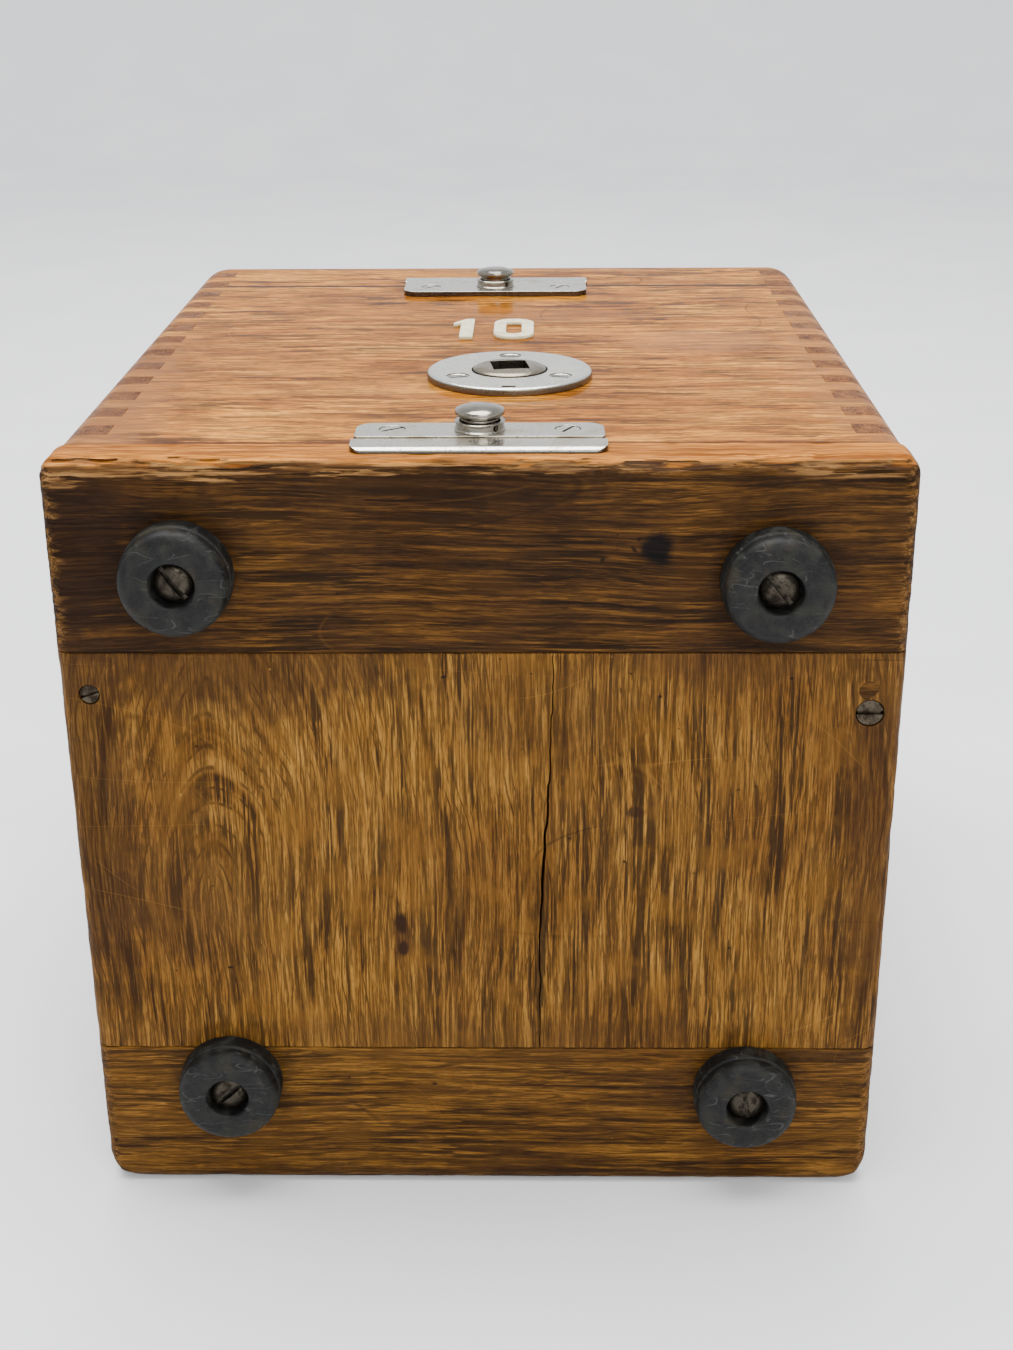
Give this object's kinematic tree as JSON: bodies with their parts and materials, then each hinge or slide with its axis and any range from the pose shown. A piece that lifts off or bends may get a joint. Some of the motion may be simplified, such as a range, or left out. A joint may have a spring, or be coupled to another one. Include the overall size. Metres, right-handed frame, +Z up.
{
  "type": "fuse box panel",
  "caption": "Portable oak fuse box with rubber feet, a key-operated rotary switch, press-stud catches, a lift-off lid and pull-out fuse carriers on an inner panel.",
  "frame": {"origin": "on the floor under the middle of the box that bounds the case lying on its back wall, feet included", "axes": "+X to the right across the base board, +Y along the case from the feet to the lid, +Z up out of the key wall"},
  "size_m": [0.17, 0.2144, 0.1749],
  "materials": {
    "oak_key_wall": "varnished oak, glossy",
    "oak_case": "varnished oak",
    "oak_board": "worn varnished oak",
    "oak_batten_upper": "dark worn oak",
    "oak_batten_lower": "worn varnished oak",
    "foot_rubber": "hard rubber, dusty",
    "aged_steel": "tarnished",
    "nickel_plate": "worn nickel plate, satin",
    "ivory_celluloid": "aged cream",
    "slate": "honed",
    "porcelain": "glazed white",
    "brass": "bright, slightly tarnished",
    "copper": "copper, slightly tarnished",
    "ebonite": "black moulded"
  },
  "bodies": {
    "case": {"key_wall": "oak_key_wall", "back_wall": "oak_case", "left_wall": "oak_case", "right_wall": "oak_case", "panel_cleat_left": "oak_case", "panel_cleat_right": "oak_case", "base_board": "oak_board", "base_batten_upper": "oak_batten_upper", "base_batten_lower": "oak_batten_lower", "foot_upper_left": "foot_rubber", "foot_upper_right": "foot_rubber", "foot_lower_left": "foot_rubber", "foot_lower_right": "foot_rubber", "foot_screw_upper_left": "aged_steel", "foot_screw_upper_right": "aged_steel", "foot_screw_lower_left": "aged_steel", "foot_screw_lower_right": "aged_steel", "base_screw_left": "aged_steel", "base_screw_right": "aged_steel", "escutcheon": "nickel_plate", "escutcheon_screw_1": "nickel_plate", "escutcheon_screw_2": "nickel_plate", "escutcheon_screw_3": "nickel_plate", "base_catch_plate": "nickel_plate", "base_catch_strip": "nickel_plate", "base_catch_screw_left": "nickel_plate", "base_catch_screw_right": "nickel_plate", "lid_catch_plate": "nickel_plate", "lid_catch_screw_left": "nickel_plate", "lid_catch_screw_right": "nickel_plate", "numeral_one": "ivory_celluloid", "numeral_nought": "ivory_celluloid", "fuse_panel": "slate", "fuse_base": "porcelain", "switch_base": "porcelain", "fuse_clip_left_back": "brass", "fuse_clip_left_front": "brass", "fuse_clip_right_back": "brass", "fuse_clip_right_front": "brass", "switch_jaw_left": "copper", "switch_jaw_right": "copper", "cable_bush_left": "ebonite", "cable_bush_right": "ebonite"},
    "lid": {"lid_board": "oak_case", "lid_key_wall": "oak_key_wall", "lid_back_wall": "oak_case", "lid_left_wall": "oak_case", "lid_right_wall": "oak_case", "lid_dowel_left": "oak_case", "lid_dowel_right": "oak_case", "lid_catch_strip": "nickel_plate"},
    "key_rotor": {"key_spindle": "nickel_plate", "switch_rotor": "ebonite", "switch_blade": "copper"},
    "base_button": {"base_catch_button": "nickel_plate"},
    "lid_button": {"lid_catch_button": "nickel_plate"},
    "fuse_left": {"fuse_carrier_left": "porcelain", "fuse_element_left": "copper"},
    "fuse_right": {"fuse_carrier_right": "porcelain", "fuse_element_right": "copper"}
  },
  "joints": [
    {"name": "lid_slide", "type": "slide", "parent": "case", "child": "lid", "axis": [0, 1, 0], "range_m": [0, 0.06]},
    {"name": "key_turn", "type": "hinge", "parent": "case", "child": "key_rotor", "pos_m": [0.0052, -0.0338, 0.15], "axis": [0, 0, 1], "range_deg": [0, 90]},
    {"name": "base_stud_press", "type": "slide", "parent": "case", "child": "base_button", "axis": [0, 0, -1], "range_m": [0, 0.0008], "stiffness_N_per_m": 1500, "springref_m": -0.002},
    {"name": "lid_stud_press", "type": "slide", "parent": "case", "child": "lid_button", "axis": [0, 0, -1], "range_m": [0, 0.0008], "stiffness_N_per_m": 1500, "springref_m": -0.002},
    {"name": "fuse_left_pull", "type": "slide", "parent": "case", "child": "fuse_left", "axis": [0, 1, 0], "range_m": [0, 0.03]},
    {"name": "fuse_right_pull", "type": "slide", "parent": "case", "child": "fuse_right", "axis": [0, 1, 0], "range_m": [0, 0.03]}
  ]
}
